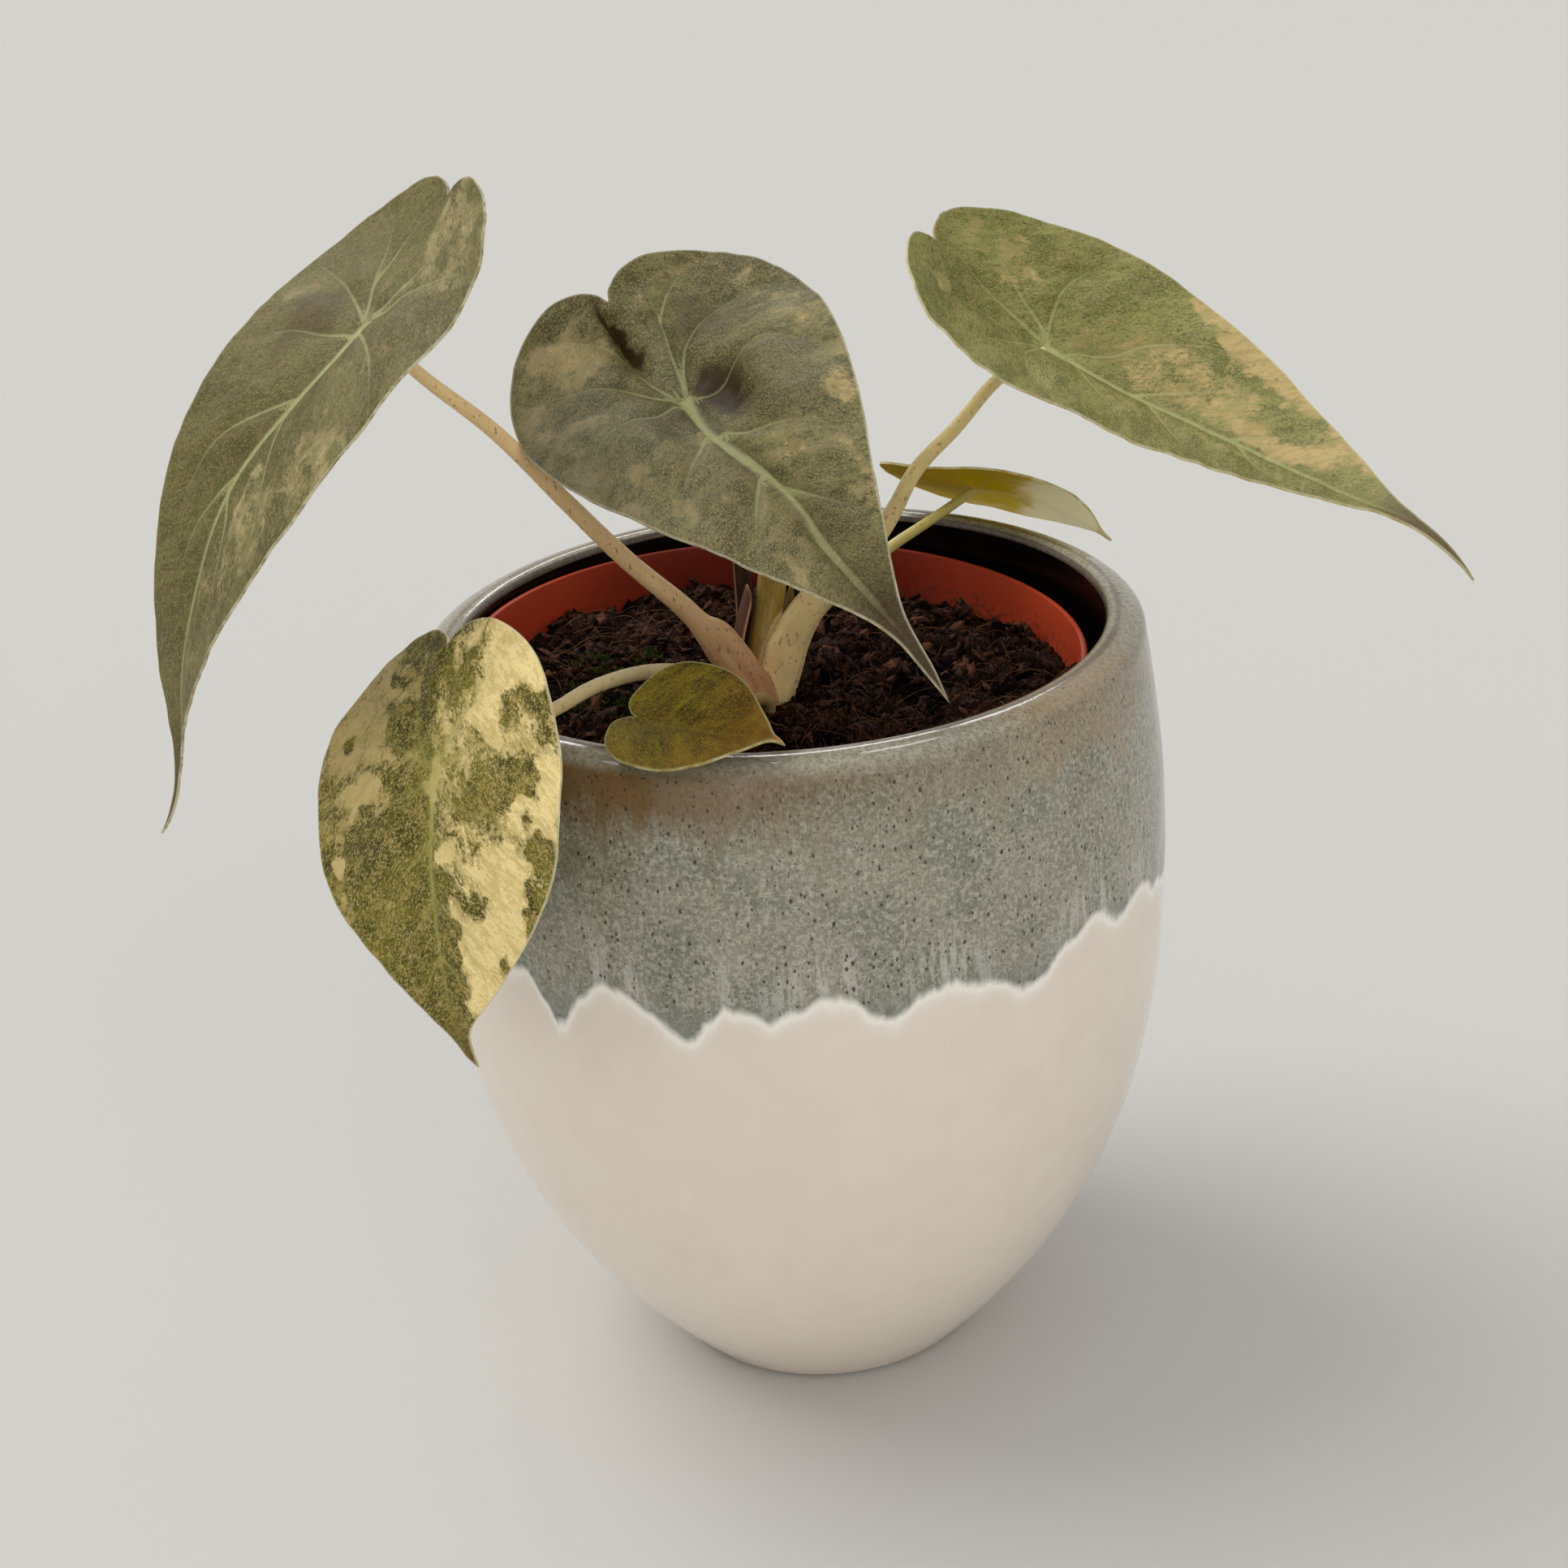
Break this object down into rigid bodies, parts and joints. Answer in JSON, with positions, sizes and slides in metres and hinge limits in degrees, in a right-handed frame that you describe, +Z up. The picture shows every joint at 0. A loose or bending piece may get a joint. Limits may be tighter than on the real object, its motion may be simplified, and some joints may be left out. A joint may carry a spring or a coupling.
{
  "type": "potted alocasia plant",
  "caption": "Young variegated alocasia with heart-shaped drooping leaves in a plastic grow pot inside a drip-glazed ceramic pot.",
  "frame": {"origin": "centre of the ceramic pot's flat foot, on the surface it stands on", "axes": "+Z up along the pot's axis; -Y faces the picture's viewer, +X is the viewer's right"},
  "size_m": [0.197, 0.1345, 0.2089],
  "materials": {
    "glazed_pot": "gloss",
    "terracotta_plastic": "matte",
    "soil": "rough loose peat",
    "leaf_stalk": "satin plant skin",
    "dark_sheath": "satin plant skin",
    "leaf_bronze": "satin leaf",
    "leaf_green": "satin leaf",
    "leaf_cream": "satin leaf",
    "leaf_olive": "satin leaf"
  },
  "bodies": {
    "root": {"ceramic_pot": "glazed_pot", "nursery_pot": "terracotta_plastic", "soil": "soil", "petioles": "leaf_stalk", "young_sheath": "dark_sheath", "leaf_left": "leaf_bronze", "leaf_centre": "leaf_bronze", "leaf_right": "leaf_green", "leaf_cream": "leaf_cream", "leaf_front": "leaf_olive", "leaf_back": "leaf_olive"}
  },
  "joints": []
}
